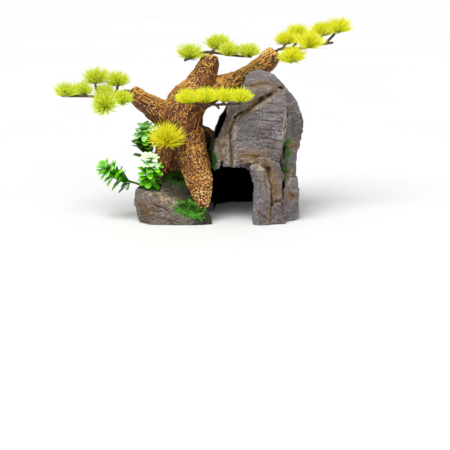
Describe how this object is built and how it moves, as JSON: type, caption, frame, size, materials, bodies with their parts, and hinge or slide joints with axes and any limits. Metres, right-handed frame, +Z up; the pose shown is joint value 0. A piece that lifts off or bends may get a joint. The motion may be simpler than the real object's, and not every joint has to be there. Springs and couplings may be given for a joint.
{
  "type": "resin cave ornament",
  "caption": "Hollow cast-resin rock cave with a leaning bonsai tree, low base rock and push-in plastic foliage, for an aquarium or pond floor.",
  "frame": {"origin": "middle of the ornament's box, on the floor it stands on", "axes": "+Z up, +X along the length towards the cave, +Y from the cave mouth to the back"},
  "size_m": [0.2858, 0.1213, 0.1905],
  "materials": {
    "grey_rock": "matte",
    "base_rock": "matte",
    "bark": "satin",
    "root_bark": "satin",
    "twig": "satin",
    "needles": "satin",
    "stem": "satin",
    "leaves": "satin",
    "moss": "matte"
  },
  "bodies": {
    "ornament": {"cave_rock": "grey_rock", "base_rock": "base_rock", "trunk": "bark", "left_limb": "bark", "upper_limb": "bark", "right_limb": "bark", "front_root": "root_bark", "side_root": "bark", "rear_root": "bark", "front_moss": "moss", "root_moss": "moss", "crack_moss": "moss", "rim_moss": "moss"},
    "left_sprig": {"left_twig": "twig", "left_tuft_1": "needles", "left_tuft_2": "needles", "left_tuft_3": "needles", "left_tuft_4": "needles", "left_tuft_5": "needles", "left_tuft_6": "needles", "left_tuft_7": "needles"},
    "top_sprig": {"top_twig": "twig", "top_tuft_1": "needles", "top_tuft_2": "needles", "top_tuft_3": "needles", "top_tuft_4": "needles"},
    "right_sprig": {"right_twig": "twig", "right_tuft_1": "needles", "right_tuft_2": "needles", "right_tuft_3": "needles", "right_tuft_4": "needles", "right_tuft_5": "needles", "right_tuft_6": "needles"},
    "middle_sprig": {"middle_twig": "twig", "middle_tuft_1": "needles", "middle_tuft_2": "needles", "middle_tuft_3": "needles", "middle_tuft_4": "needles"},
    "front_sprig": {"front_twig": "twig", "front_tuft_1": "needles"},
    "front_plant": {"front_stem": "stem", "front_whorl_1": "leaves", "front_whorl_2": "leaves", "front_whorl_3": "leaves", "front_whorl_4": "leaves"},
    "left_plant": {"left_stem": "stem", "left_whorl_1": "leaves", "left_whorl_2": "leaves", "left_whorl_3": "leaves", "left_whorl_4": "leaves"},
    "rear_plant": {"rear_stem": "stem", "rear_whorl_1": "leaves", "rear_whorl_2": "leaves", "rear_whorl_3": "leaves", "rear_whorl_4": "leaves"}
  },
  "joints": [
    {"name": "left_sprig_turn", "type": "hinge", "parent": "ornament", "child": "left_sprig", "pos_m": [-0.071, -0.015, 0.124], "axis": [-0.762, -0.127, 0.635], "range_deg": [-30, 30]},
    {"name": "top_sprig_turn", "type": "hinge", "parent": "ornament", "child": "top_sprig", "pos_m": [0.006, 0.005, 0.157], "axis": [0.1, 0.1, 0.99], "range_deg": [-30, 30]},
    {"name": "right_sprig_turn", "type": "hinge", "parent": "ornament", "child": "right_sprig", "pos_m": [0.071, 0.022, 0.1585], "axis": [0.7071, 0, 0.7071], "range_deg": [-30, 30]},
    {"name": "middle_sprig_turn", "type": "hinge", "parent": "ornament", "child": "middle_sprig", "pos_m": [-0.01, -0.0215, 0.108], "axis": [0.3015, -0.9045, 0.3015], "range_deg": [-12, 12]},
    {"name": "front_sprig_turn", "type": "hinge", "parent": "ornament", "child": "front_sprig", "pos_m": [-0.033, -0.022, 0.075], "axis": [-0.2807, -0.8721, 0.4009], "range_deg": [-45, 45]},
    {"name": "front_plant_turn", "type": "hinge", "parent": "ornament", "child": "front_plant", "pos_m": [-0.052, -0.033, 0.03], "axis": [-0.0494, -0.1482, 0.9877], "range_deg": [-15, 15]},
    {"name": "left_plant_turn", "type": "hinge", "parent": "ornament", "child": "left_plant", "pos_m": [-0.061, -0.024, 0.032], "axis": [-0.8422, -0.3369, 0.4211], "range_deg": [-15, 15]},
    {"name": "rear_plant_turn", "type": "hinge", "parent": "ornament", "child": "rear_plant", "pos_m": [-0.054, -0.008, 0.033], "axis": [-0.0586, -0.0586, 0.9966], "range_deg": [-15, 15]}
  ]
}
